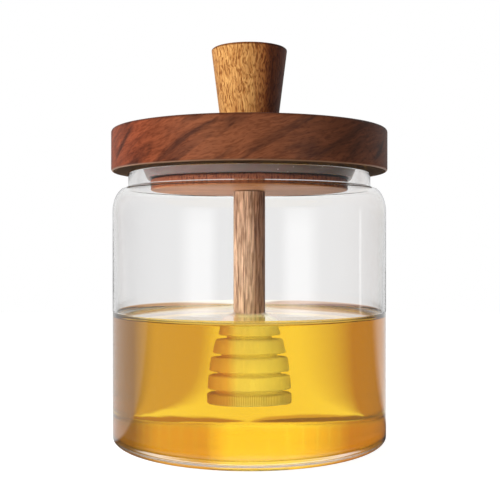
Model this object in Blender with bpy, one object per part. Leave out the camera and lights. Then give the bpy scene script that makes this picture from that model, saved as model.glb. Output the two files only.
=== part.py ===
"""Honey pot with dipper: a clear glass jar of honey, shut by a turned wooden lid.

The lid is a thick disc with a plug and a grey seal under it and a tapered knob on top.
A wooden dipper hangs from the plug, and its grooved head stands in the honey.
Every piece is turned about the upright Z axis, and z = 0 is the jar's base.
"""

import math

import bmesh
import bpy

MM = 0.001

# Turning and fits
SEGMENTS = 48
GAP = 0.3 * MM
MERGE = 0.01 * MM
SHARP_ANGLE = math.radians(35)

# Glass jar
JAR_RADIUS = 47.0 * MM
JAR_WALL = 1.2 * MM
NECK_WALL = 1.2 * MM
JAR_FLOOR = 3.2 * MM
JAR_HEIGHT = 92.5 * MM
BASE_CORNER_WIDTH = 6.0 * MM
BASE_CORNER_RISE = 3.0 * MM
INNER_CORNER_RISE = 3.0 * MM
NECK_RADIUS = 41.7 * MM
SHOULDER_START = 79.2 * MM
SHOULDER_RISE = 8.5 * MM
SHOULDER_TOP_ANGLE = 65
SHOULDER_STEPS = 5
NECK_FILLET = 0.6 * MM
FILLET_LIFT = 0.85
FILLET_END_ANGLE = 250

# Honey
HONEY_LEVEL = 43.5 * MM
WALL_CLIMB = 1.9 * MM
WALL_CLIMB_REACH = 4.0 * MM
STEM_CLIMB = 1.3 * MM
STEM_CLIMB_REACH = 2.8 * MM

# Wooden lid: disc, plug and knob
LID_RADIUS = 47.5 * MM
LID_THICKNESS = 14.3 * MM
LID_TOP_EDGE = 1.0 * MM
LID_LOW_EDGE = 1.0 * MM
PLUG_RADIUS = 34.1 * MM
PLUG_DROP = 5.8 * MM
PLUG_FLANGE = 3.0 * MM
PLUG_EDGE = 0.6 * MM
PLUG_CORE_RADIUS = 32.0 * MM
KNOB_FOOT_RADIUS = 9.6 * MM
KNOB_TOP_RADIUS = 13.1 * MM
KNOB_HEIGHT = 28.4 * MM
KNOB_EDGE = 0.7 * MM

# Silicone seal in the plug's groove
SEAL_TOP_RADIUS = 36.8 * MM
SEAL_LOW_RADIUS = 35.5 * MM

# Dipper: a round stem and a beehive head of five rings
STEM_RADIUS = 5.5 * MM
HEAD_BOTTOM = 15.5 * MM
BOTTOM_RING_HEIGHT = 3.4 * MM
RING_PITCH = 5.9 * MM
RING_GROOVE = 1.3 * MM
GROOVE_DEPTH = 2.0 * MM
GROOVE_SLOPE = 0.2
RING_EDGE = 0.35 * MM
HEAD_SHOULDER_RISE = 1.0 * MM
RING_RADII = (  # top ring first: upper and lower edge of each
    (6.5 * MM, 7.2 * MM),
    (7.8 * MM, 8.5 * MM),
    (8.9 * MM, 9.3 * MM),
    (9.4 * MM, 9.65 * MM),
    (9.75 * MM, 9.75 * MM),
)

# Heights that follow from the sizes above
LID_BOTTOM = JAR_HEIGHT + GAP
LID_TOP = LID_BOTTOM + LID_THICKNESS
PLUG_BOTTOM = LID_BOTTOM - PLUG_DROP
FLANGE_TOP = PLUG_BOTTOM + PLUG_FLANGE
KNOB_FOOT = LID_TOP + GAP
STEM_TOP = PLUG_BOTTOM - GAP


def clear_scene():
    for old in list(bpy.data.objects):
        bpy.data.objects.remove(old, do_unlink=True)


def finish(name, colour, roughness, transmission=0.0, ior=1.5):
    material = bpy.data.materials.new(name)
    material.use_nodes = True
    shader = material.node_tree.nodes["Principled BSDF"]
    shader.inputs["Base Color"].default_value = (*colour, 1.0)
    shader.inputs["Roughness"].default_value = roughness
    shader.inputs["Metallic"].default_value = 0.0
    shader.inputs["Transmission Weight"].default_value = transmission
    shader.inputs["IOR"].default_value = ior
    material.diffuse_color = (*colour, 1.0)
    return material


def arc(centre, radii, start, end, steps):
    """Points on an ellipse's arc, from one angle to the other in degrees, both ends included."""
    points = []
    for step in range(steps + 1):
        angle = math.radians(start + (end - start) * step / steps)
        radius = centre[0] + radii[0] * math.cos(angle)
        height = centre[1] + radii[1] * math.sin(angle)
        points.append((radius, height))
    return points


def turned(name, outline, material, closed=False):
    """One solid turned about Z from an outline of (radius, height) points.

    An open outline starts and ends on the axis. A closed one is a ring's section.
    """
    shape = bmesh.new()
    corners = [shape.verts.new((radius, 0.0, height)) for radius, height in outline]
    edges = [shape.edges.new(pair) for pair in zip(corners, corners[1:])]
    if closed:
        edges.append(shape.edges.new((corners[-1], corners[0])))
    bmesh.ops.spin(
        shape,
        geom=corners + edges,
        cent=(0.0, 0.0, 0.0),
        axis=(0.0, 0.0, 1.0),
        angle=math.tau,
        steps=SEGMENTS,
        use_merge=True,
        use_duplicate=False,
    )
    bmesh.ops.remove_doubles(shape, verts=shape.verts, dist=MERGE)
    bmesh.ops.recalc_face_normals(shape, faces=shape.faces)
    mesh = bpy.data.meshes.new(name)
    shape.to_mesh(mesh)
    shape.free()
    mesh.shade_smooth()
    mesh.set_sharp_from_angle(angle=SHARP_ANGLE)
    mesh.materials.append(material)
    piece = bpy.data.objects.new(name, mesh)
    bpy.context.scene.collection.objects.link(piece)
    return piece


def inset(path):
    """The inner side of a wall that follows its outer path and thins from body to neck."""
    inner = []
    for place, (radius, height) in enumerate(path):
        before = path[max(place - 1, 0)]
        after = path[min(place + 1, len(path) - 1)]
        arriving = math.atan2(height - before[1], radius - before[0])
        leaving = math.atan2(after[1] - height, after[0] - radius)
        if place == 0:
            arriving = leaving
        if place == len(path) - 1:
            leaving = arriving
        heading = (arriving + leaving) / 2
        thinning = min(1.0, place / SHOULDER_STEPS)
        wall = JAR_WALL + (NECK_WALL - JAR_WALL) * thinning
        inner.append((radius - wall * math.sin(heading), height + wall * math.cos(heading)))
    return inner


def jar_outline():
    """Up the inside from the middle of the floor, over the lip and down the outside."""
    corner_width = BASE_CORNER_WIDTH - JAR_WALL
    shoulder_reach = JAR_RADIUS - NECK_RADIUS
    shoulder_top = SHOULDER_START + SHOULDER_RISE
    lip = NECK_WALL / 2
    shoulder_centre = (NECK_RADIUS, SHOULDER_START)
    fillet_centre = (NECK_RADIUS + NECK_FILLET, shoulder_top + NECK_FILLET * FILLET_LIFT)
    upper = [(JAR_RADIUS, SHOULDER_START - JAR_WALL)]
    upper += arc(shoulder_centre, (shoulder_reach, SHOULDER_RISE), 0, SHOULDER_TOP_ANGLE, SHOULDER_STEPS)
    upper += arc(fillet_centre, (NECK_FILLET, NECK_FILLET), FILLET_END_ANGLE, 180, 3)
    upper.append((NECK_RADIUS, JAR_HEIGHT - lip))
    inside = [(0.0, JAR_FLOOR)]
    floor_corner = (JAR_RADIUS - BASE_CORNER_WIDTH, JAR_FLOOR + INNER_CORNER_RISE)
    inside += arc(floor_corner, (corner_width, INNER_CORNER_RISE), -90, 0, 4)
    inside += inset(upper)[:-1]
    rim = arc((NECK_RADIUS - lip, JAR_HEIGHT - lip), (lip, lip), 180, 0, 4)
    outside = list(reversed(upper))[1:-1]
    base_corner = (JAR_RADIUS - BASE_CORNER_WIDTH, BASE_CORNER_RISE)
    outside += arc(base_corner, (BASE_CORNER_WIDTH, BASE_CORNER_RISE), 0, -90, 5)
    outside.append((0.0, 0.0))
    return inside + rim + outside


def head_outline(clearance):
    """The dipper's head from its top shoulder to its lowest edge, grown by a clearance."""
    points = []
    ring_count = len(RING_RADII)
    for number, (upper, lower) in enumerate(RING_RADII):
        pitches_up = ring_count - 1 - number
        if pitches_up == 0:
            bottom = HEAD_BOTTOM
        else:
            bottom = HEAD_BOTTOM + BOTTOM_RING_HEIGHT + RING_GROOVE + (pitches_up - 1) * RING_PITCH
        ring_height = BOTTOM_RING_HEIGHT if pitches_up == 0 else RING_PITCH - RING_GROOVE
        top = bottom + ring_height
        if number == 0:
            points.append((STEM_RADIUS + clearance, top + HEAD_SHOULDER_RISE + clearance))
        else:
            core = RING_RADII[number - 1][1] - GROOVE_DEPTH + clearance
            points.append((core, top + RING_GROOVE * GROOVE_SLOPE + clearance))
        points.append((upper - RING_EDGE + clearance, top + clearance))
        points.append((upper + clearance, top - RING_EDGE + clearance))
        points.append((lower + clearance, bottom + RING_EDGE - clearance))
        points.append((lower - RING_EDGE + clearance, bottom - clearance))
        if pitches_up > 0:
            core = lower - GROOVE_DEPTH + clearance
            points.append((core, bottom - RING_GROOVE * GROOVE_SLOPE - clearance))
    return points


def dipper_outline():
    outline = [(0.0, STEM_TOP), (STEM_RADIUS, STEM_TOP)]
    outline += head_outline(0.0)
    outline.append((0.0, HEAD_BOTTOM))
    return outline


def honey_outline():
    """From under the dipper up its sides, out over the surface, and down the jar's wall."""
    outer_radius = JAR_RADIUS - JAR_WALL - GAP
    floor = JAR_FLOOR + GAP
    corner_width = BASE_CORNER_WIDTH - JAR_WALL - GAP
    corner_rise = INNER_CORNER_RISE - GAP
    hole_radius = STEM_RADIUS + GAP
    outline = [(0.0, HEAD_BOTTOM - GAP)]
    outline += reversed(head_outline(GAP))
    stem_curve = (hole_radius + STEM_CLIMB_REACH, HONEY_LEVEL + STEM_CLIMB)
    outline += arc(stem_curve, (STEM_CLIMB_REACH, STEM_CLIMB), 180, 270, 3)
    wall_curve = (outer_radius - WALL_CLIMB_REACH, HONEY_LEVEL + WALL_CLIMB)
    outline += arc(wall_curve, (WALL_CLIMB_REACH, WALL_CLIMB), -90, 0, 4)
    corner = (outer_radius - corner_width, floor + corner_rise)
    outline += arc(corner, (corner_width, corner_rise), 0, -90, 4)
    outline.append((0.0, floor))
    return outline


def disc_outline():
    top_curve = (LID_RADIUS - LID_TOP_EDGE, LID_TOP - LID_TOP_EDGE)
    low_curve = (LID_RADIUS - LID_LOW_EDGE, LID_BOTTOM + LID_LOW_EDGE)
    outline = [(0.0, LID_TOP)]
    outline += arc(top_curve, (LID_TOP_EDGE, LID_TOP_EDGE), 90, 0, 4)
    outline += arc(low_curve, (LID_LOW_EDGE, LID_LOW_EDGE), 0, -90, 3)
    outline.append((0.0, LID_BOTTOM))
    return outline


def plug_outline():
    """A narrow core under the disc, then the wider flange that holds the seal up."""
    top = LID_BOTTOM - GAP
    outline = [(0.0, top), (PLUG_CORE_RADIUS, top), (PLUG_CORE_RADIUS, FLANGE_TOP)]
    upper_edge = (PLUG_RADIUS - PLUG_EDGE, FLANGE_TOP - PLUG_EDGE)
    lower_edge = (PLUG_RADIUS - PLUG_EDGE, PLUG_BOTTOM + PLUG_EDGE)
    outline += arc(upper_edge, (PLUG_EDGE, PLUG_EDGE), 90, 0, 2)
    outline += arc(lower_edge, (PLUG_EDGE, PLUG_EDGE), 0, -90, 2)
    outline.append((0.0, PLUG_BOTTOM))
    return outline


def seal_outline():
    """The seal's section, a slanted band that is widest under the disc."""
    inner_radius = PLUG_CORE_RADIUS + GAP
    top = LID_BOTTOM - GAP
    bottom = FLANGE_TOP + GAP
    return [
        (inner_radius, top),
        (SEAL_TOP_RADIUS, top),
        (SEAL_LOW_RADIUS, bottom),
        (inner_radius, bottom),
    ]


def knob_outline():
    top = KNOB_FOOT + KNOB_HEIGHT
    edge_curve = (KNOB_TOP_RADIUS - KNOB_EDGE, top - KNOB_EDGE)
    outline = [(0.0, top)]
    outline += arc(edge_curve, (KNOB_EDGE, KNOB_EDGE), 90, 0, 4)
    outline.append((KNOB_FOOT_RADIUS, KNOB_FOOT))
    outline.append((0.0, KNOB_FOOT))
    return outline


clear_scene()
clear_glass = finish("clear_glass", (0.93, 0.95, 0.95), 0.03, transmission=1.0, ior=1.47)
amber_honey = finish("amber_honey", (0.83, 0.49, 0.10), 0.05, transmission=0.6, ior=1.49)
red_brown_wood = finish("red_brown_wood", (0.24, 0.085, 0.04), 0.45)
light_brown_wood = finish("light_brown_wood", (0.42, 0.22, 0.12), 0.5)
golden_wood = finish("golden_wood", (0.48, 0.27, 0.10), 0.45)
grey_silicone = finish("grey_silicone", (0.25, 0.21, 0.18), 0.4)
dipper_wood = finish("dipper_wood", (0.44, 0.25, 0.14), 0.5)

turned("glass_jar", jar_outline(), clear_glass)
turned("honey", honey_outline(), amber_honey)
turned("lid_disc", disc_outline(), red_brown_wood)
turned("lid_plug", plug_outline(), light_brown_wood)
turned("lid_seal", seal_outline(), grey_silicone, closed=True)
turned("knob", knob_outline(), golden_wood)
turned("dipper", dipper_outline(), dipper_wood)
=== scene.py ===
import math

import bpy
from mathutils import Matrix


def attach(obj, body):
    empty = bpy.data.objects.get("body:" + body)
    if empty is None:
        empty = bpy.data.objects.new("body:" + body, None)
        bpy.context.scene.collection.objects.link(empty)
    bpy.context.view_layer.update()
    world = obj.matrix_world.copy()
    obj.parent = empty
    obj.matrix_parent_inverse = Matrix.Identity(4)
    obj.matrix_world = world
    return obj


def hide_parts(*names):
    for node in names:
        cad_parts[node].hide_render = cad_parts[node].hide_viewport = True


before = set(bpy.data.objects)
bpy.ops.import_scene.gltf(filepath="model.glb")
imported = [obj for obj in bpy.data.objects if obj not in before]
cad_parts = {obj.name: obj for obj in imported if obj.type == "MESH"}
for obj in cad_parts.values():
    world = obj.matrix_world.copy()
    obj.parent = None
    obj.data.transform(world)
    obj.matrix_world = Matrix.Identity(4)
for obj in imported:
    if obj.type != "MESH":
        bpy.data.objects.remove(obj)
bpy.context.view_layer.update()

# The view and the studio
# A level camera at half the pot's height, close enough to see under the lid and onto the honey.
# The floor and surroundings look white, and a large soft key light stands at the front left.

PIXELS = 500
SENSOR = 36.0
FOCAL_PIXELS = 887.6
AXIS_PIXEL = 249.3
HORIZON_PIXEL = 245.0
CAMERA_DISTANCE = 0.30875
CAMERA_HEIGHT = 0.0679

bpy.ops.object.select_all(action="DESELECT")
bpy.ops.object.camera_add(location=(0, -CAMERA_DISTANCE, CAMERA_HEIGHT), rotation=(math.radians(90), 0, 0))
camera = bpy.context.object
camera.name = "camera"
camera.data.sensor_width = SENSOR
camera.data.lens = FOCAL_PIXELS / PIXELS * SENSOR
camera.data.shift_x = (PIXELS / 2 - AXIS_PIXEL) / PIXELS
camera.data.shift_y = (HORIZON_PIXEL - PIXELS / 2) / PIXELS
camera.data.clip_start = 0.01
bpy.context.scene.camera = camera

scene = bpy.context.scene
scene.view_settings.view_transform = "Standard"
scene.cycles.use_denoising = True
scene.cycles.max_bounces = 24
scene.cycles.transmission_bounces = 20
scene.cycles.glossy_bounces = 8
scene.cycles.diffuse_bounces = 4
scene.cycles.transparent_max_bounces = 8

world = bpy.data.worlds.new("studio")
scene.world = world
world.use_nodes = True


def add(tree, kind, inputs=None, **options):
    """Adds a node, sets its options, and links or sets its inputs."""
    node = tree.nodes.new(kind)
    for option, value in options.items():
        setattr(node, option, value)
    for name, value in (inputs or {}).items():
        if isinstance(value, bpy.types.NodeSocket):
            tree.links.new(value, node.inputs[name])
        else:
            node.inputs[name].default_value = value
    return node


DIFFUSE_SKY = (1.0, 0.86, 0.72, 1)
DIFFUSE_SKY_LIGHT = 0.16
MIRRORED_SKY_LIGHT = 0.15
THROUGH_SKY_LIGHT = 0.86
tree = world.node_tree
tree.nodes.clear()
path = add(tree, "ShaderNodeLightPath")
seen = add(tree, "ShaderNodeBackground", {"Color": (1, 1, 1, 1)})
diffuse_sky = add(tree, "ShaderNodeBackground", {"Color": DIFFUSE_SKY, "Strength": DIFFUSE_SKY_LIGHT})
mirrored_sky = add(tree, "ShaderNodeBackground", {"Color": (1, 1, 1, 1), "Strength": MIRRORED_SKY_LIGHT})
through_sky = add(tree, "ShaderNodeBackground", {"Color": (1, 1, 1, 1), "Strength": THROUGH_SKY_LIGHT})
lighting = add(tree, "ShaderNodeMixShader", {0: path.outputs["Is Transmission Ray"],
                                             1: mirrored_sky.outputs[0],
                                             2: through_sky.outputs[0]})
all_lighting = add(tree, "ShaderNodeMixShader", {0: path.outputs["Is Diffuse Ray"],
                                                 1: lighting.outputs[0],
                                                 2: diffuse_sky.outputs[0]})
sky = add(tree, "ShaderNodeMixShader", {0: path.outputs["Is Camera Ray"], 1: all_lighting.outputs[0],
                                        2: seen.outputs[0]})
add(tree, "ShaderNodeOutputWorld", {"Surface": sky.outputs[0]})

# The surroundings have a colour for each compass bearing, 0 behind the pot and positive to the
# right. Behind the honey stands a bright panel, with a warm light on its right, a browner one on its
# left and darkness beyond. These bearings start behind the pot, since the honey acts as a lens.
LENS_POINT = 0.062
BACK_PANEL = (1.2, 1.2, 1.1)
WARM_LIGHT = (0.8, 0.6, 0.5)
BROWN_LIGHT = (0.6, 0.35, 0.2)
DARK_LIGHT = (0.3, 0.2, 0.2)
HONEY_VIEW = (
    (-180, DARK_LIGHT), (-90, BROWN_LIGHT), (-30, BROWN_LIGHT), (-10, BACK_PANEL), (5, BACK_PANEL),
    (10, WARM_LIGHT), (25, WARM_LIGHT), (40, DARK_LIGHT), (180, DARK_LIGHT),
)

# What shows through the empty glass, and what the honey's surface mirrors inside the jar
GLASS_VIEW = (
    (-180, (0.4,) * 3), (-120, (0.4,) * 3), (-85, (0.97,) * 3), (-30, (0.92,) * 3), (0, (0.9,) * 3),
    (30, (0.92,) * 3), (85, (0.97,) * 3), (120, (0.4,) * 3), (180, (0.4,) * 3),
)
INNER_MIRROR_VIEW = (
    (-180, (0.25,) * 3), (-70, (0.3,) * 3), (-45, (0.5,) * 3), (-25, (1.15,) * 3), (25, (1.15,) * 3),
    (45, (0.4,) * 3), (60, (0.2,) * 3), (110, (0.2,) * 3), (180, (0.25,) * 3),
)

# What the outer surfaces mirror: the floor, and the wall with softboxes in its lower part
FLOOR_MIRRORED = (
    (-180, (0.1,) * 3), (-95, (0.1,) * 3), (-91, (0.95,) * 3), (-20, (0.85,) * 3), (0, (0.8,) * 3),
    (30, (1.0,) * 3), (54, (1.0,) * 3), (66, (0.1,) * 3), (110, (0.1,) * 3), (180, (0.1,) * 3),
)
WALL_MIRRORED = (
    (-180, (0.3,) * 3), (-157, (0.3,) * 3), (-148, (3.8,) * 3), (-136, (3.8,) * 3), (-122, (0.3,) * 3),
    (-100, (0.2,) * 3), (-40, (0.25,) * 3), (-15, (0.5,) * 3), (15, (0.4,) * 3), (40, (0.1,) * 3),
    (78.5, (0.1,) * 3), (80, (2.2,) * 3), (81.5, (2.2,) * 3), (83, (0.1,) * 3), (110, (0.1,) * 3),
    (122, (0.3,) * 3), (136, (3.8,) * 3), (148, (3.8,) * 3), (157, (0.3,) * 3), (180, (0.3,) * 3),
)
HIGH_WALL_MIRRORED = (
    (-180, (0.2,) * 3), (-100, (0.2,) * 3), (-60, (0.4,) * 3), (60, (0.4,) * 3), (100, (0.2,) * 3),
    (180, (0.2,) * 3),
)

# What lights the stem through the glass, and the dipper's head through the honey
STEM_LIGHT = (
    (-180, (1.2,) * 3), (-130, (4.8, 4.6, 4.3)), (-70, (4.8, 4.6, 4.3)), (-20, (0.8,) * 3),
    (40, (0.15,) * 3), (140, (0.1,) * 3), (180, (1.2,) * 3),
)
HEAD_LIGHT = (
    (-180, (4.4, 5.0, 6.0)), (-155, (4.0, 4.3, 5.0)), (-120, (1.6, 1.0, 0.6)), (-60, (1.6, 1.0, 0.6)),
    (60, (1.2,) * 3), (115, (1.7,) * 3), (150, (2.6, 3.0, 3.4)), (180, (4.4, 5.0, 6.0)),
)


def mixed(tree, share, first, second, blend="MIX"):
    """Blends two colours."""
    node = add(tree, "ShaderNodeMix", {0: share, 6: first, 7: second}, data_type="RGBA", blend_type=blend)
    return node.outputs[2]


def mask(tree, value, zero, one):
    """0 where a value is at the first level, 1 where it is at the second, and a ramp between them."""
    node = add(tree, "ShaderNodeMapRange", {"Value": value, "From Min": zero, "From Max": one})
    return node.outputs["Result"]


def reckoned(tree, operation, first, second=None):
    """A sum, product or other reckoning of one or two values."""
    inputs = {0: first} if second is None else {0: first, 1: second}
    return add(tree, "ShaderNodeMath", inputs, operation=operation).outputs[0]


def placed(tree):
    """The X, Y and Z of a point on the piece."""
    place = add(tree, "ShaderNodeTexCoord")
    return add(tree, "ShaderNodeSeparateXYZ", {0: place.outputs["Object"]}).outputs


def bearing_colour(tree, levels, centre=0.0):
    """The brightness and colour that the compass bearing from a centre has."""
    place = placed(tree)
    bearing = reckoned(tree, "ARCTAN2", place["X"], reckoned(tree, "SUBTRACT", place["Y"], centre))
    ramp = add(tree, "ShaderNodeValToRGB", {"Fac": mask(tree, bearing, -math.pi, math.pi)})
    stops = ramp.color_ramp.elements
    while len(stops) < len(levels):
        stops.new(0.5)
    for stop, (angle, colour) in zip(stops, levels):
        stop.position = (angle + 180) / 360
        stop.color = (*colour, 1)
    return ramp.outputs["Color"]


def by_height(tree, height, blur, below, above):
    """One colour below a height and another above it."""
    return mixed(tree, mask(tree, placed(tree)["Z"], height - blur, height + blur), below, above)


def glow(tree, colour):
    """A surface that shines evenly."""
    return add(tree, "ShaderNodeEmission", {"Color": colour}).outputs[0]


# The colour that lights the pieces outside the jar, and the number of surfaces that only a view
# through the honey passes
OUTER_FILL = (0.52, 0.46, 0.40, 1)
GLASS_PASSES = 4.5


def by_ray(tree, seen_shader, mirrored, honey_view):
    """The camera sees a shader, and other rays meet a colour.

    Reflections meet the mirrored one. Views through glass meet the glass view, the inner mirror view
    where something in the jar reflects them, or the honey view where they passed through the honey.
    What lights the stem, the head and the pieces outside the jar differs in the same way.
    """
    path = add(tree, "ShaderNodeLightPath")
    deep = reckoned(tree, "GREATER_THAN", path.outputs["Transmission Depth"], GLASS_PASSES)
    through = path.outputs["Is Transmission Ray"]
    turned_back = reckoned(tree, "MINIMUM", path.outputs["Glossy Depth"], 1.0)
    glass_view = mixed(tree, turned_back, bearing_colour(tree, GLASS_VIEW),
                       bearing_colour(tree, INNER_MIRROR_VIEW))
    view = mixed(tree, through, mirrored, mixed(tree, deep, glass_view, honey_view))
    inner = mixed(tree, deep, bearing_colour(tree, STEM_LIGHT), bearing_colour(tree, HEAD_LIGHT))
    scattered = reckoned(tree, "MINIMUM", path.outputs["Diffuse Depth"], 1.0)
    light = mixed(tree, scattered, view, mixed(tree, through, OUTER_FILL, inner))
    shown = add(tree, "ShaderNodeMixShader", {0: path.outputs["Is Camera Ray"], 1: glow(tree, light),
                                              2: seen_shader})
    tree.links.new(shown.outputs[0], tree.nodes["Material Output"].inputs["Surface"])


FLOOR_RADIUS = 0.62
FLOOR_DROP = 0.0002
FLOOR_LIGHT = 0.95
UNDER_JAR = 0.056
UNDER_JAR_COLOUR = (0.80, 0.68, 0.5, 1)
bpy.ops.object.select_all(action="DESELECT")
bpy.ops.mesh.primitive_circle_add(vertices=96, radius=FLOOR_RADIUS, fill_type="NGON",
                                  location=(0, 0, -FLOOR_DROP))
floor = bpy.context.object
floor.name = "floor"
bpy.ops.object.transform_apply(location=True, rotation=True, scale=True)
pale = bpy.data.materials.new("pale_floor")
pale.use_nodes = True
shader = pale.node_tree.nodes["Principled BSDF"]
shader.inputs["Base Color"].default_value = (0.4, 0.4, 0.4, 1)
shader.inputs["Roughness"].default_value = 0.8
shader.inputs["Emission Color"].default_value = (1, 1, 1, 1)
shader.inputs["Emission Strength"].default_value = FLOOR_LIGHT
tree = pale.node_tree
place = add(tree, "ShaderNodeTexCoord")
reach = add(tree, "ShaderNodeVectorMath", {0: place.outputs["Object"]}, operation="LENGTH")
under = reckoned(tree, "LESS_THAN", reach.outputs["Value"], UNDER_JAR)
honey_view = mixed(tree, under, bearing_colour(tree, HONEY_VIEW, LENS_POINT), UNDER_JAR_COLOUR)
by_ray(tree, shader.outputs[0], bearing_colour(tree, FLOOR_MIRRORED), honey_view)
floor.data.materials.append(pale)

WALL_RADIUS = 0.9
WALL_HEIGHT = 0.9
WALL_DROP = 0.001
SOFTBOX_TOP = 0.12
SOFTBOX_BLUR = 0.03
MIDDLE_VIEW_START = 0.08
MIDDLE_VIEW_BLUR = 0.02
MIDDLE_VIEW_LIFT = (1.3, 1.4, 1.25, 1)
LOW_VIEW_START = 0.165
LOW_VIEW_WARMTH = (1.3, 1.1, 0.4, 1)
LOW_VIEW_BLUR = 0.01
bpy.ops.object.select_all(action="DESELECT")
bpy.ops.mesh.primitive_cylinder_add(vertices=96, radius=WALL_RADIUS, depth=WALL_HEIGHT,
                                    end_fill_type="NOTHING",
                                    location=(0, 0, WALL_HEIGHT / 2 - WALL_DROP))
wall = bpy.context.object
wall.name = "surround"
for edge in wall.data.edges:
    edge.select = all(wall.data.vertices[v].co.z < 0 for v in edge.vertices)
bpy.ops.object.mode_set(mode="EDIT")
bpy.ops.mesh.select_mode(type="EDGE")
bpy.ops.mesh.extrude_edges_move()
bpy.ops.transform.resize(value=(FLOOR_RADIUS / WALL_RADIUS, FLOOR_RADIUS / WALL_RADIUS, 1),
                         center_override=(0, 0, 0))
bpy.ops.object.mode_set(mode="OBJECT")
bpy.ops.object.transform_apply(location=True, rotation=True, scale=True)
screen = bpy.data.materials.new("surround")
screen.use_nodes = True
tree = screen.node_tree
white = glow(tree, (1, 1, 1, 1))
softboxes = by_height(tree, SOFTBOX_TOP, SOFTBOX_BLUR, bearing_colour(tree, WALL_MIRRORED),
                      bearing_colour(tree, HIGH_WALL_MIRRORED))
plain_view = bearing_colour(tree, HONEY_VIEW, LENS_POINT)
middle_view = by_height(tree, MIDDLE_VIEW_START, MIDDLE_VIEW_BLUR, plain_view,
                        mixed(tree, 1.0, plain_view, MIDDLE_VIEW_LIFT, "MULTIPLY"))
honey_view = by_height(tree, LOW_VIEW_START, LOW_VIEW_BLUR, middle_view,
                       mixed(tree, 1.0, plain_view, LOW_VIEW_WARMTH, "MULTIPLY"))
by_ray(tree, white, softboxes, honey_view)
wall.data.materials.append(screen)
wall.visible_diffuse = False

KEY_PLACE = (-0.50, -0.38, 0.36)
KEY_TURN = (math.radians(65), 0, math.radians(-53))
bpy.ops.object.select_all(action="DESELECT")
bpy.ops.object.light_add(type="AREA", location=KEY_PLACE, rotation=KEY_TURN)
key = bpy.context.object
key.name = "key_light"
key.data.shape = "RECTANGLE"
key.data.size = 0.30
key.data.size_y = 0.45
key.data.energy = 6.0
key.visible_camera = False
key.visible_glossy = False
key.visible_transmission = False

# Glass jar
# A blown jar of clear glass with a thick flat floor, a rounded base corner, a round shoulder and a
# short neck. The wall thins towards the shoulder and neck, and the lip is fire-polished.

SIDES = 256
JAR_RADIUS = 0.0470
JAR_WALL = 0.0012
JAR_FLOOR = 0.0032
JAR_HEIGHT = 0.0925
NECK_WALL = 0.0005
THINNING_START = 0.0560
BASE_CORNER_WIDTH = 0.0060
BASE_CORNER_RISE = 0.0030
INNER_CORNER_RISE = 0.0030
NECK_RADIUS = 0.0417
SHOULDER_START = 0.0792
SHOULDER_RISE = 0.0085
NECK_FILLET = 0.0003
FILLET_LIFT = 0.85

# A short straight step beside a curve, which keeps the shading of the flat next to it even
FIRM = 0.0004


def arc(centre, radii, start, end, steps):
    """Points along a part of an oval, from one angle in degrees to another."""
    points = []
    for step in range(steps + 1):
        angle = math.radians(start + (end - start) * step / steps)
        points.append((centre[0] + radii[0] * math.cos(angle), centre[1] + radii[1] * math.sin(angle)))
    return points


def turned(name, outline, sides=SIDES):
    """Draws a round face along an outline of (radius, height), ring by ring, into a closed body."""
    bpy.ops.object.select_all(action="DESELECT")
    radius, height = outline[0]
    bpy.ops.mesh.primitive_circle_add(vertices=sides, radius=radius, fill_type="NGON",
                                      location=(0, 0, height))
    piece = bpy.context.object
    piece.name = name
    bpy.ops.object.mode_set(mode="EDIT")
    bpy.ops.mesh.select_all(action="SELECT")
    for (radius, height), (next_radius, next_height) in zip(outline, outline[1:]):
        bpy.ops.mesh.extrude_region_move(TRANSFORM_OT_translate={"value": (0, 0, next_height - height)})
        scale = next_radius / radius
        bpy.ops.transform.resize(value=(scale, scale, 1), center_override=(0, 0, next_height))
    bpy.ops.mesh.select_all(action="SELECT")
    bpy.ops.mesh.normals_make_consistent(inside=False)
    bpy.ops.object.mode_set(mode="OBJECT")
    bpy.ops.object.transform_apply(location=True, rotation=True, scale=True)
    bpy.ops.object.shade_smooth_by_angle(angle=math.radians(40))
    return piece


def inset(path):
    """The inner side of a wall that follows its outer path, thinner from its second point on."""
    inner = []
    for place, (radius, height) in enumerate(path):
        before = path[max(place - 1, 0)]
        after = path[min(place + 1, len(path) - 1)]
        arriving = math.atan2(height - before[1], radius - before[0])
        leaving = math.atan2(after[1] - height, after[0] - radius)
        if place == 0:
            arriving = leaving
        if place == len(path) - 1:
            leaving = arriving
        heading = (arriving + leaving) / 2
        wall = NECK_WALL if place else JAR_WALL
        inner.append((radius - wall * math.sin(heading), height + wall * math.cos(heading)))
    return inner


inner_radius = JAR_RADIUS - JAR_WALL
corner_width = BASE_CORNER_WIDTH - JAR_WALL
lip = NECK_WALL / 2
corner = (JAR_RADIUS - BASE_CORNER_WIDTH, BASE_CORNER_RISE)
inside_corner = (corner[0], JAR_FLOOR + INNER_CORNER_RISE)
fillet = (NECK_RADIUS + NECK_FILLET, SHOULDER_START + SHOULDER_RISE + NECK_FILLET * FILLET_LIFT)
upper = [(JAR_RADIUS, THINNING_START), (JAR_RADIUS, SHOULDER_START - JAR_WALL)]
upper += arc((NECK_RADIUS, SHOULDER_START), (JAR_RADIUS - NECK_RADIUS, SHOULDER_RISE), 0, 65, 14)
upper += arc(fillet, (NECK_FILLET, NECK_FILLET), 250, 180, 8)
upper += [(NECK_RADIUS, JAR_HEIGHT - lip)]
jar_outline = [(corner[0] - FIRM, 0)]
jar_outline += arc(corner, (BASE_CORNER_WIDTH, BASE_CORNER_RISE), -90, 0, 12)
jar_outline += [(JAR_RADIUS, BASE_CORNER_RISE + FIRM)] + upper[:-1]
jar_outline += arc((NECK_RADIUS - lip, JAR_HEIGHT - lip), (lip, lip), 0, 180, 12)
jar_outline += list(reversed(inset(upper)[:-1]))
jar_outline += [(inner_radius, inside_corner[1] + FIRM)]
jar_outline += arc(inside_corner, (corner_width, INNER_CORNER_RISE), 0, -90, 10)
jar_outline += [(inside_corner[0] - FIRM, JAR_FLOOR)]
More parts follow.
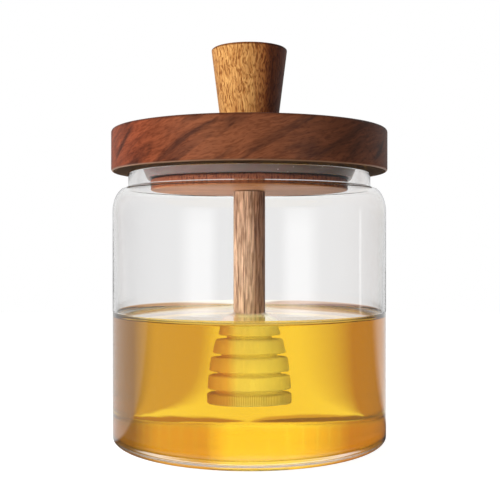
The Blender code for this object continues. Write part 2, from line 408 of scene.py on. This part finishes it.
jar = turned("jar", jar_outline)

glass = bpy.data.materials.new("clear_glass")
glass.use_nodes = True
shader = glass.node_tree.nodes["Principled BSDF"]
shader.inputs["Base Color"].default_value = (1, 1, 1, 1)
shader.inputs["Roughness"].default_value = 0.0
shader.inputs["Transmission Weight"].default_value = 1.0
shader.inputs["IOR"].default_value = 1.47
tree = glass.node_tree
place = add(tree, "ShaderNodeTexCoord")
swell = add(tree, "ShaderNodeTexNoise", {"Vector": place.outputs["Object"], "Scale": 45.0, "Detail": 1.0})
waves = add(tree, "ShaderNodeBump", {"Height": swell.outputs["Fac"], "Strength": 0.1, "Distance": 0.0002})
tree.links.new(waves.outputs[0], shader.inputs["Normal"])
jar.data.materials.append(glass)
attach(jar, "root")
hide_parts("glass_jar")

# Honey
# Clear amber honey, poured to half the jar's height. It wets the glass and the dipper, so its
# surface rises a little at both.

HONEY_LEVEL = 0.0435
WALL_CLIMB = 0.0019
WALL_CLIMB_REACH = 0.0040
STEM_CLIMB = 0.0013
STEM_CLIMB_REACH = 0.0028
INTO_GLASS = 0.0002
INTO_WOOD = 0.0001
STEM_RADIUS = 0.0055
HEAD_BOTTOM = 0.0155
BOTTOM_RING_HEIGHT = 0.0034
RING_PITCH = 0.0059
RING_GROOVE = 0.0013
GROOVE_DEPTH = 0.0020
GROOVE_SLOPE = 0.2
RING_EDGE = 0.00035
HEAD_SHOULDER_RISE = 0.0010
RING_RADII = ((0.0065, 0.0072), (0.0078, 0.0085), (0.0089, 0.0093), (0.0094, 0.00965), (0.00975, 0.00975))


def head_outline(clearance):
    """The dipper's head from its lowest edge up to its shoulder, grown by a clearance."""
    points = []
    bottom = HEAD_BOTTOM
    height = BOTTOM_RING_HEIGHT
    for upper, lower in reversed(RING_RADII):
        top = bottom + height
        if points:
            points.append((lower - GROOVE_DEPTH + clearance,
                           bottom - RING_GROOVE * GROOVE_SLOPE - clearance))
        points.append((lower - RING_EDGE + clearance, bottom - clearance))
        points.append((lower + clearance, bottom + RING_EDGE - clearance))
        points.append((upper + clearance, top - RING_EDGE + clearance))
        points.append((upper - RING_EDGE + clearance, top + clearance))
        points.append((None, top + RING_GROOVE * GROOVE_SLOPE + clearance))
        bottom = top + RING_GROOVE
        height = RING_PITCH - RING_GROOVE
    points.pop()
    for place, (radius, level) in enumerate(points):
        if radius is None:
            points[place] = (points[place + 1][0], level)
    points.append((STEM_RADIUS + clearance, top + HEAD_SHOULDER_RISE + clearance))
    return points


honey_radius = inner_radius + INTO_GLASS
honey_floor = JAR_FLOOR - INTO_GLASS
wall_crest = HONEY_LEVEL + WALL_CLIMB
stem_crest = HONEY_LEVEL + STEM_CLIMB
hole = STEM_RADIUS - INTO_WOOD
wall_curve = honey_radius - WALL_CLIMB_REACH
stem_curve = hole + STEM_CLIMB_REACH
deep_corner = (corner_width + INTO_GLASS, INNER_CORNER_RISE + INTO_GLASS)
honey_outline = [(inside_corner[0] - FIRM, honey_floor)]
honey_outline += arc(inside_corner, deep_corner, -90, 0, 10)
honey_outline += [(honey_radius, inside_corner[1] + FIRM), (honey_radius, wall_crest - FIRM)]
honey_outline += arc((wall_curve, wall_crest), (WALL_CLIMB_REACH, WALL_CLIMB), 0, -90, 10)
honey_outline += [(wall_curve - FIRM, HONEY_LEVEL), (stem_curve + FIRM, HONEY_LEVEL)]
honey_outline += arc((stem_curve, stem_crest), (STEM_CLIMB_REACH, STEM_CLIMB), 270, 180, 8)
honey_outline += list(reversed(head_outline(-INTO_WOOD)))
honey = turned("honey_fill", honey_outline)

amber = bpy.data.materials.new("amber_honey")
amber.use_nodes = True
shader = amber.node_tree.nodes["Principled BSDF"]
shader.inputs["Base Color"].default_value = (1, 1, 1, 1)
shader.inputs["Roughness"].default_value = 0.045
shader.inputs["Transmission Weight"].default_value = 1.0
shader.inputs["IOR"].default_value = 1.49
tree = amber.node_tree
place = add(tree, "ShaderNodeTexCoord")
lying = add(tree, "ShaderNodeMapping", {"Vector": place.outputs["Object"], "Scale": (1, 1, 3)})
swell = add(tree, "ShaderNodeTexNoise", {"Vector": lying.outputs[0], "Scale": 60.0, "Detail": 2.0})
waves = add(tree, "ShaderNodeBump", {"Height": swell.outputs["Fac"], "Strength": 0.15,
                                     "Distance": 0.0002})
tree.links.new(waves.outputs[0], shader.inputs["Normal"])
absorb = add(tree, "ShaderNodeVolumeAbsorption", {"Color": (0.985, 0.855, 0.03, 1), "Density": 40.0})
tree.links.new(absorb.outputs[0], tree.nodes["Material Output"].inputs["Volume"])
honey.data.materials.append(amber)
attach(honey, "root")
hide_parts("honey")

# Dipper
# One piece of straight-grained wood, turned: a plain stem and a beehive head of five rings. The
# stem is browner and streaked, and the head is painted pale as painted light from the glowing honey.

STEM_TOP = 0.0867
dipper_outline = [(HEAD_BOTTOM * 0.5, HEAD_BOTTOM)]
dipper_outline += head_outline(0)
dipper_outline += [(STEM_RADIUS, STEM_TOP)]
dipper = turned("dipper_turned", dipper_outline, 96)


PORE_TINT = (0.36, 0.22, 0.12, 1)


def wood_grain_group():
    """Fibres, broad figure and short pores that run along Z of the given coordinates."""
    group = bpy.data.node_groups.new("wood_grain", "ShaderNodeTree")
    sockets = (("Vector", "NodeSocketVector"), ("Light", "NodeSocketColor"), ("Dark", "NodeSocketColor"),
               ("Figure Scale", "NodeSocketFloat"), ("Fibre Scale", "NodeSocketFloat"),
               ("Fibre Amount", "NodeSocketFloat"), ("Pore Scale", "NodeSocketFloat"),
               ("Pore Amount", "NodeSocketFloat"), ("Sway", "NodeSocketFloat"))
    for name, kind in sockets:
        group.interface.new_socket(name, in_out="INPUT", socket_type=kind)
    group.interface.new_socket("Color", in_out="OUTPUT", socket_type="NodeSocketColor")
    group.interface.new_socket("Height", in_out="OUTPUT", socket_type="NodeSocketFloat")
    given = add(group, "NodeGroupInput")
    drift = add(group, "ShaderNodeTexNoise", {"Vector": given.outputs["Vector"],
                                              "Scale": given.outputs["Figure Scale"],
                                              "Detail": 2.0})
    centred = add(group, "ShaderNodeVectorMath", {0: drift.outputs["Color"], 1: (0.5, 0.5, 0.5)},
                  operation="SUBTRACT")
    offset = add(group, "ShaderNodeVectorMath", {0: centred.outputs[0], "Scale": given.outputs["Sway"]},
                 operation="SCALE")
    swayed = add(group, "ShaderNodeVectorMath", {0: given.outputs["Vector"], 1: offset.outputs[0]},
                 operation="ADD")
    long_grain = add(group, "ShaderNodeVectorMath", {0: swayed.outputs[0], 1: (1, 1, 0.05)},
                     operation="MULTIPLY")
    short_grain = add(group, "ShaderNodeVectorMath", {0: swayed.outputs[0], 1: (1, 1, 0.22)},
                      operation="MULTIPLY")
    figure = add(group, "ShaderNodeTexNoise", {"Vector": short_grain.outputs[0],
                                               "Scale": given.outputs["Figure Scale"], "Detail": 3.0})
    fibre = add(group, "ShaderNodeTexNoise", {"Vector": long_grain.outputs[0],
                                              "Scale": given.outputs["Fibre Scale"], "Detail": 3.0})
    pore = add(group, "ShaderNodeTexNoise", {"Vector": short_grain.outputs[0],
                                             "Scale": given.outputs["Pore Scale"], "Detail": 1.0})
    figure_mask = mask(group, figure.outputs["Fac"], 0.35, 0.68)
    fibre_mask = mask(group, fibre.outputs["Fac"], 0.36, 0.66)
    pore_mask = mask(group, pore.outputs["Fac"], 0.49, 0.64)
    shade = add(group, "ShaderNodeMix", {0: given.outputs["Fibre Amount"], 2: figure_mask, 3: fibre_mask},
                data_type="FLOAT")
    base = mixed(group, shade.outputs[0], given.outputs["Light"], given.outputs["Dark"])
    pore_shade = reckoned(group, "MULTIPLY", pore_mask, given.outputs["Pore Amount"])
    deep = mixed(group, pore_shade, base, PORE_TINT, "MULTIPLY")
    sunk = reckoned(group, "SUBTRACT", 1.0, reckoned(group, "ADD", fibre_mask, pore_shade))
    add(group, "NodeGroupOutput", {"Color": deep, "Height": sunk})
    return group


wood_grain = wood_grain_group()


def wooden(name, turn, shift, values, roughness, depth):
    """A wood material whose grain runs along its coordinates' Z after the turn in degrees."""
    material = bpy.data.materials.new(name)
    material.use_nodes = True
    tree = material.node_tree
    place = add(tree, "ShaderNodeTexCoord")
    mapping = add(tree, "ShaderNodeMapping", {"Vector": place.outputs["Object"], "Location": shift,
                                              "Rotation": tuple(math.radians(angle) for angle in turn)})
    grain = add(tree, "ShaderNodeGroup", node_tree=wood_grain)
    tree.links.new(mapping.outputs[0], grain.inputs["Vector"])
    for socket, value in values.items():
        grain.inputs[socket].default_value = value
    shader = tree.nodes["Principled BSDF"]
    shader.inputs["Roughness"].default_value = roughness
    shader.inputs["Specular IOR Level"].default_value = 0.25
    relief = add(tree, "ShaderNodeBump", {"Height": grain.outputs["Height"], "Strength": 0.5,
                                          "Distance": depth})
    tree.links.new(grain.outputs["Color"], shader.inputs["Base Color"])
    tree.links.new(relief.outputs[0], shader.inputs["Normal"])
    return material, grain, shader


def height_mask(tree, zero, one):
    """0 at one height of the piece, 1 at the other, and a ramp between them."""
    return mask(tree, placed(tree)["Z"], zero, one)


def tinted(tree, shader, share, colour, blend="MULTIPLY"):
    """Blends a colour over the base colour, by a share."""
    below = shader.inputs["Base Color"].links[0].from_socket
    tree.links.new(mixed(tree, share, below, colour, blend), shader.inputs["Base Color"])


dipper_values = {"Light": (0.84, 0.58, 0.40, 1), "Dark": (0.17, 0.073, 0.034, 1), "Figure Scale": 120.0,
                 "Fibre Scale": 1900.0, "Fibre Amount": 0.8, "Pore Scale": 900.0, "Pore Amount": 0.5,
                 "Sway": 0.0006}
wood, grain, shader = wooden("dipper_wood", (0, 0, 0), (0, 0, 0), dipper_values, 0.6, 0.00008)
PALE_UP_TO = 0.0425
STREAKED_FROM = 0.0445
HEAD_PAINTED_GLOW = 0.88
tree = wood.node_tree
place = placed(tree)
head_mask = height_mask(tree, STREAKED_FROM, PALE_UP_TO)
stem_mask = height_mask(tree, PALE_UP_TO, STREAKED_FROM)
# Painted light: the head, up to the honey's top, is painted pale in place of the honey's glow on it
painted_glow_share = reckoned(tree, "MULTIPLY", head_mask, HEAD_PAINTED_GLOW)
tinted(tree, shader, painted_glow_share, (0.95, 0.92, 0.78, 1), "MIX")

# Painted shade: the stem's right side is painted darker, and the head's left side darker and warmer
right = mask(tree, place["X"], 0.0008, 0.0022)
tinted(tree, shader, reckoned(tree, "MULTIPLY", right, stem_mask), (0.74, 0.60, 0.52, 1))
left = mask(tree, place["X"], -0.0030, -0.0055)
tinted(tree, shader, reckoned(tree, "MULTIPLY", left, head_mask), (0.93, 0.68, 0.55, 1))

# The lowest ring has fine upright lines
LINES = 136
bottom_ring_top = HEAD_BOTTOM + BOTTOM_RING_HEIGHT
on_bottom_ring = height_mask(tree, bottom_ring_top + 0.0003, bottom_ring_top)
turns = reckoned(tree, "MULTIPLY", reckoned(tree, "ARCTAN2", place["Y"], place["X"]), LINES)
furrow = mask(tree, reckoned(tree, "SINE", turns), 0.4, -0.4)
tinted(tree, shader, reckoned(tree, "MULTIPLY", furrow, on_bottom_ring), (0.60, 0.50, 0.40, 1))
dipper.data.materials.append(wood)
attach(dipper, "root")
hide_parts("dipper")

# Lid plug
# A round of lighter wood under the disc, turned with a groove for the seal: a narrower core above
# and a flange below, with its end grain on the side.

PLUG_TOP = 0.0925
PLUG_BOTTOM = 0.0870
FLANGE_TOP = 0.0900
PLUG_RADIUS = 0.0341
PLUG_EDGE = 0.0006
PLUG_CORE_RADIUS = 0.0320
plug_outline = [(PLUG_RADIUS / 2, PLUG_BOTTOM), (PLUG_RADIUS - PLUG_EDGE - FIRM, PLUG_BOTTOM)]
plug_outline += arc((PLUG_RADIUS - PLUG_EDGE, PLUG_BOTTOM + PLUG_EDGE), (PLUG_EDGE, PLUG_EDGE), -90, 0, 5)
plug_outline += arc((PLUG_RADIUS - PLUG_EDGE, FLANGE_TOP - PLUG_EDGE), (PLUG_EDGE, PLUG_EDGE), 0, 90, 5)
plug_outline += [(PLUG_CORE_RADIUS, FLANGE_TOP), (PLUG_CORE_RADIUS, PLUG_TOP), (PLUG_RADIUS / 2, PLUG_TOP)]
plug = turned("plug", plug_outline)
plug_values = {"Light": (0.58, 0.26, 0.12, 1), "Dark": (0.43, 0.175, 0.075, 1), "Figure Scale": 90.0,
               "Fibre Scale": 700.0, "Fibre Amount": 0.6, "Pore Scale": 900.0, "Pore Amount": 0.15,
               "Sway": 0.002}
wood, grain, shader = wooden("light_brown_wood", (0, 90, 0), (0, 0, 0.02), plug_values, 0.5, 0.00004)
tree = wood.node_tree
side_mask = height_mask(tree, PLUG_BOTTOM + 0.0001, PLUG_BOTTOM + 0.0007)
tinted(tree, shader, side_mask, (0.78, 0.50, 0.43, 1))


def way_round(tree, radius):
    """How far a point lies along a round side, from the front and positive to the right."""
    place = placed(tree)
    front = reckoned(tree, "MULTIPLY", place["Y"], -1.0)
    return reckoned(tree, "MULTIPLY", reckoned(tree, "ARCTAN2", place["X"], front), radius)


# The end grain round the side shows as fine upright marks
along = way_round(tree, PLUG_RADIUS)
unrolled = add(tree, "ShaderNodeCombineXYZ", {0: along, 2: placed(tree)["Z"]})
stretched = add(tree, "ShaderNodeVectorMath", {0: unrolled.outputs[0], 1: (1, 1, 0.3)},
                operation="MULTIPLY")
marks = add(tree, "ShaderNodeTexNoise", {"Vector": stretched.outputs[0], "Scale": 1500.0, "Detail": 2.0})
end_grain = reckoned(tree, "MULTIPLY", mask(tree, marks.outputs["Fac"], 0.47, 0.62), side_mask)
tinted(tree, shader, end_grain, (0.45, 0.38, 0.34, 1))
plug.data.materials.append(wood)
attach(plug, "root")
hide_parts("lid_plug")

# Seal
# A soft ring of grey translucent silicone in the plug's groove, wider at the top, with a few
# bright specks of dust on it.

SEAL_TOP_RADIUS = 0.0368
SEAL_LOW_RADIUS = 0.0355
SEAL_TOP = 0.0925
SEAL_BOTTOM = 0.0903
SEAL_INNER = 0.0323
SEAL_EDGE = 0.00015
seal_outline = [(SEAL_INNER, SEAL_BOTTOM), (SEAL_LOW_RADIUS - SEAL_EDGE, SEAL_BOTTOM),
                (SEAL_LOW_RADIUS, SEAL_BOTTOM + SEAL_EDGE), (SEAL_TOP_RADIUS, SEAL_TOP - SEAL_EDGE),
                (SEAL_TOP_RADIUS - SEAL_EDGE, SEAL_TOP), (SEAL_INNER, SEAL_TOP)]


def turned_ring(name, outline, sides=SIDES):
    """A ring whose section is a closed outline of (radius, height)."""
    piece = turned(name, outline, sides)
    for edge in piece.data.edges:
        edge.select = False
    for vertex in piece.data.vertices:
        vertex.select = False
    for face in piece.data.polygons:
        face.select = len(face.vertices) > 4
    bpy.ops.object.mode_set(mode="EDIT")
    bpy.ops.mesh.select_mode(type="FACE")
    bpy.ops.mesh.bridge_edge_loops()
    bpy.ops.mesh.select_all(action="SELECT")
    bpy.ops.mesh.normals_make_consistent(inside=False)
    bpy.ops.object.mode_set(mode="OBJECT")
    return piece


seal = turned_ring("seal", seal_outline)
silicone = bpy.data.materials.new("grey_silicone")
silicone.use_nodes = True
tree = silicone.node_tree
shader = tree.nodes["Principled BSDF"]
place = add(tree, "ShaderNodeTexCoord")
haze = add(tree, "ShaderNodeTexNoise", {"Vector": place.outputs["Object"], "Scale": 140.0, "Detail": 3.0})
cloudy = mixed(tree, haze.outputs["Fac"], (0.19, 0.135, 0.14, 1), (0.27, 0.20, 0.20, 1))
dust = add(tree, "ShaderNodeTexVoronoi", {"Vector": place.outputs["Object"], "Scale": 420.0})
speck = mask(tree, dust.outputs["Distance"], 0.10, 0.06)
tree.links.new(mixed(tree, speck, cloudy, (0.7, 0.66, 0.64, 1)), shader.inputs["Base Color"])
shader.inputs["Roughness"].default_value = 0.35
shader.inputs["Subsurface Weight"].default_value = 0.3
shader.inputs["Subsurface Scale"].default_value = 0.001
seal.data.materials.append(silicone)
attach(seal, "root")
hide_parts("lid_seal")

# Lid disc
# A thick disc of red-brown wood, turned from a board whose grain lies level. Dark streaks climb
# across its front, and its lower edge is painted paler, a painted highlight of the light from below.

LID_RADIUS = 0.0475
LID_BOTTOM = 0.0928
LID_TOP = 0.1071
LID_EDGE = 0.0010
edge_radius = LID_RADIUS - LID_EDGE
disc_outline = [(LID_RADIUS / 2, LID_BOTTOM), (edge_radius - FIRM, LID_BOTTOM)]
disc_outline += arc((edge_radius, LID_BOTTOM + LID_EDGE), (LID_EDGE, LID_EDGE), -90, 0, 6)
disc_outline += [(LID_RADIUS, LID_BOTTOM + LID_EDGE + FIRM), (LID_RADIUS, LID_TOP - LID_EDGE - FIRM)]
disc_outline += arc((edge_radius, LID_TOP - LID_EDGE), (LID_EDGE, LID_EDGE), 0, 90, 6)
disc_outline += [(edge_radius - FIRM, LID_TOP), (LID_RADIUS / 2, LID_TOP)]
disc = turned("disc", disc_outline, 192)
disc_values = {"Light": (0.29, 0.096, 0.041, 1), "Dark": (0.14, 0.042, 0.018, 1), "Figure Scale": 70.0,
               "Fibre Scale": 1100.0, "Fibre Amount": 0.5, "Pore Scale": 2000.0, "Pore Amount": 0.4,
               "Sway": 0.004}
wood, grain, shader = wooden("red_brown_wood", (0, 90, 0), (0, 0, 0.011), disc_values, 0.42, 0.00003)
tree = wood.node_tree

# Round the side the grain follows the rim, climbing a little to the right
along = way_round(tree, LID_RADIUS)
unrolled = add(tree, "ShaderNodeCombineXYZ", {0: placed(tree)["Z"], 2: along})
climbing = add(tree, "ShaderNodeMapping", {"Vector": unrolled.outputs[0],
                                           "Rotation": (0, math.radians(-14), 0)})
rim_grain = add(tree, "ShaderNodeGroup", {"Vector": climbing.outputs[0]}, node_tree=wood_grain)
for socket, value in disc_values.items():
    rim_grain.inputs[socket].default_value = value
facing = add(tree, "ShaderNodeNewGeometry")
upright = add(tree, "ShaderNodeSeparateXYZ", {0: facing.outputs["Normal"]}).outputs["Z"]
on_face = reckoned(tree, "GREATER_THAN", reckoned(tree, "ABSOLUTE", upright), 0.75)
tree.links.new(mixed(tree, on_face, rim_grain.outputs["Color"], grain.outputs["Color"]),
               shader.inputs["Base Color"])

# Broad dark streaks climb more steeply on the side, and its left is redder
on_side = reckoned(tree, "SUBTRACT", 1.0, on_face)
streak_place = add(tree, "ShaderNodeMapping", {"Vector": unrolled.outputs[0], "Location": (0.002, 0, 0.009),
                                               "Rotation": (0, math.radians(30), 0), "Scale": (1, 1, 5)},
                   vector_type="TEXTURE")
streak = add(tree, "ShaderNodeTexNoise", {"Vector": streak_place.outputs[0], "Scale": 190.0, "Detail": 3.0,
                                          "Distortion": 0.9})
side_streak = reckoned(tree, "MULTIPLY", mask(tree, streak.outputs["Fac"], 0.50, 0.68), on_side)
tinted(tree, shader, side_streak, (0.36, 0.37, 0.45, 1))
side_left = reckoned(tree, "MULTIPLY", mask(tree, along, -0.012, -0.040), on_side)
tinted(tree, shader, side_left, (1.12, 0.80, 0.75, 1))

# The lower edge is painted paler as a painted highlight, the underside is painted darker as
# painted shade and made dull, and the upper edge is a little darker
painted_edge_light = height_mask(tree, LID_BOTTOM + 0.0006, LID_BOTTOM + 0.0003)
tinted(tree, shader, painted_edge_light, (0.40, 0.22, 0.14, 1), "MIX")
# Painted shade: the underside is painted dark brown
below = reckoned(tree, "LESS_THAN", upright, -0.9)
tinted(tree, shader, below, (0.10, 0.055, 0.03, 1), "MIX")
dullness = add(tree, "ShaderNodeMix", {0: below, 2: 0.42, 3: 0.95}, data_type="FLOAT")
tree.links.new(dullness.outputs[0], shader.inputs["Roughness"])
tinted(tree, shader, height_mask(tree, LID_TOP - LID_EDGE, LID_TOP - 0.0004), (0.55, 0.5, 0.5, 1))
disc.data.materials.append(wood)
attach(disc, "root")
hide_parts("lid_disc")

# Knob
# A tapered peg of golden wood, wider at the top, glued upright on the disc. Its grain runs up it,
# with short wavy dark flecks, and its right side is painted darker as painted shade.

KNOB_FOOT = 0.1074
KNOB_HEIGHT = 0.0284
KNOB_FOOT_RADIUS = 0.0096
KNOB_TOP_RADIUS = 0.0131
KNOB_EDGE = 0.0007
knob_top = KNOB_FOOT + KNOB_HEIGHT
knob_outline = [(KNOB_FOOT_RADIUS / 2, KNOB_FOOT), (KNOB_FOOT_RADIUS, KNOB_FOOT)]
knob_outline += arc((KNOB_TOP_RADIUS - KNOB_EDGE, knob_top - KNOB_EDGE), (KNOB_EDGE, KNOB_EDGE), 0, 90, 6)
knob_outline += [(KNOB_TOP_RADIUS / 2, knob_top)]
knob = turned("knob_turned", knob_outline)
knob_values = {"Light": (0.82, 0.45, 0.15, 1), "Dark": (0.40, 0.14, 0.028, 1), "Figure Scale": 150.0,
               "Fibre Scale": 1700.0, "Fibre Amount": 0.75, "Pore Scale": 2100.0, "Pore Amount": 0.8,
               "Sway": 0.003}
wood, grain, shader = wooden("golden_wood", (0, 0, 0), (0.003, 0, 0), knob_values, 0.45, 0.00008)
tree = wood.node_tree
across = placed(tree)["X"]
# Painted shade: the right side is painted darker and redder, and purple-brown at the far right edge
tinted(tree, shader, mask(tree, across, 0.0005, 0.0055), (0.75, 0.5, 0.38, 1))
tinted(tree, shader, mask(tree, across, 0.0050, 0.0072), (0.5, 0.42, 0.5, 1))
tinted(tree, shader, height_mask(tree, knob_top - 0.0010, knob_top - 0.0006), (0.35, 0.25, 0.2, 1))
knob.data.materials.append(wood)
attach(knob, "root")
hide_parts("knob")
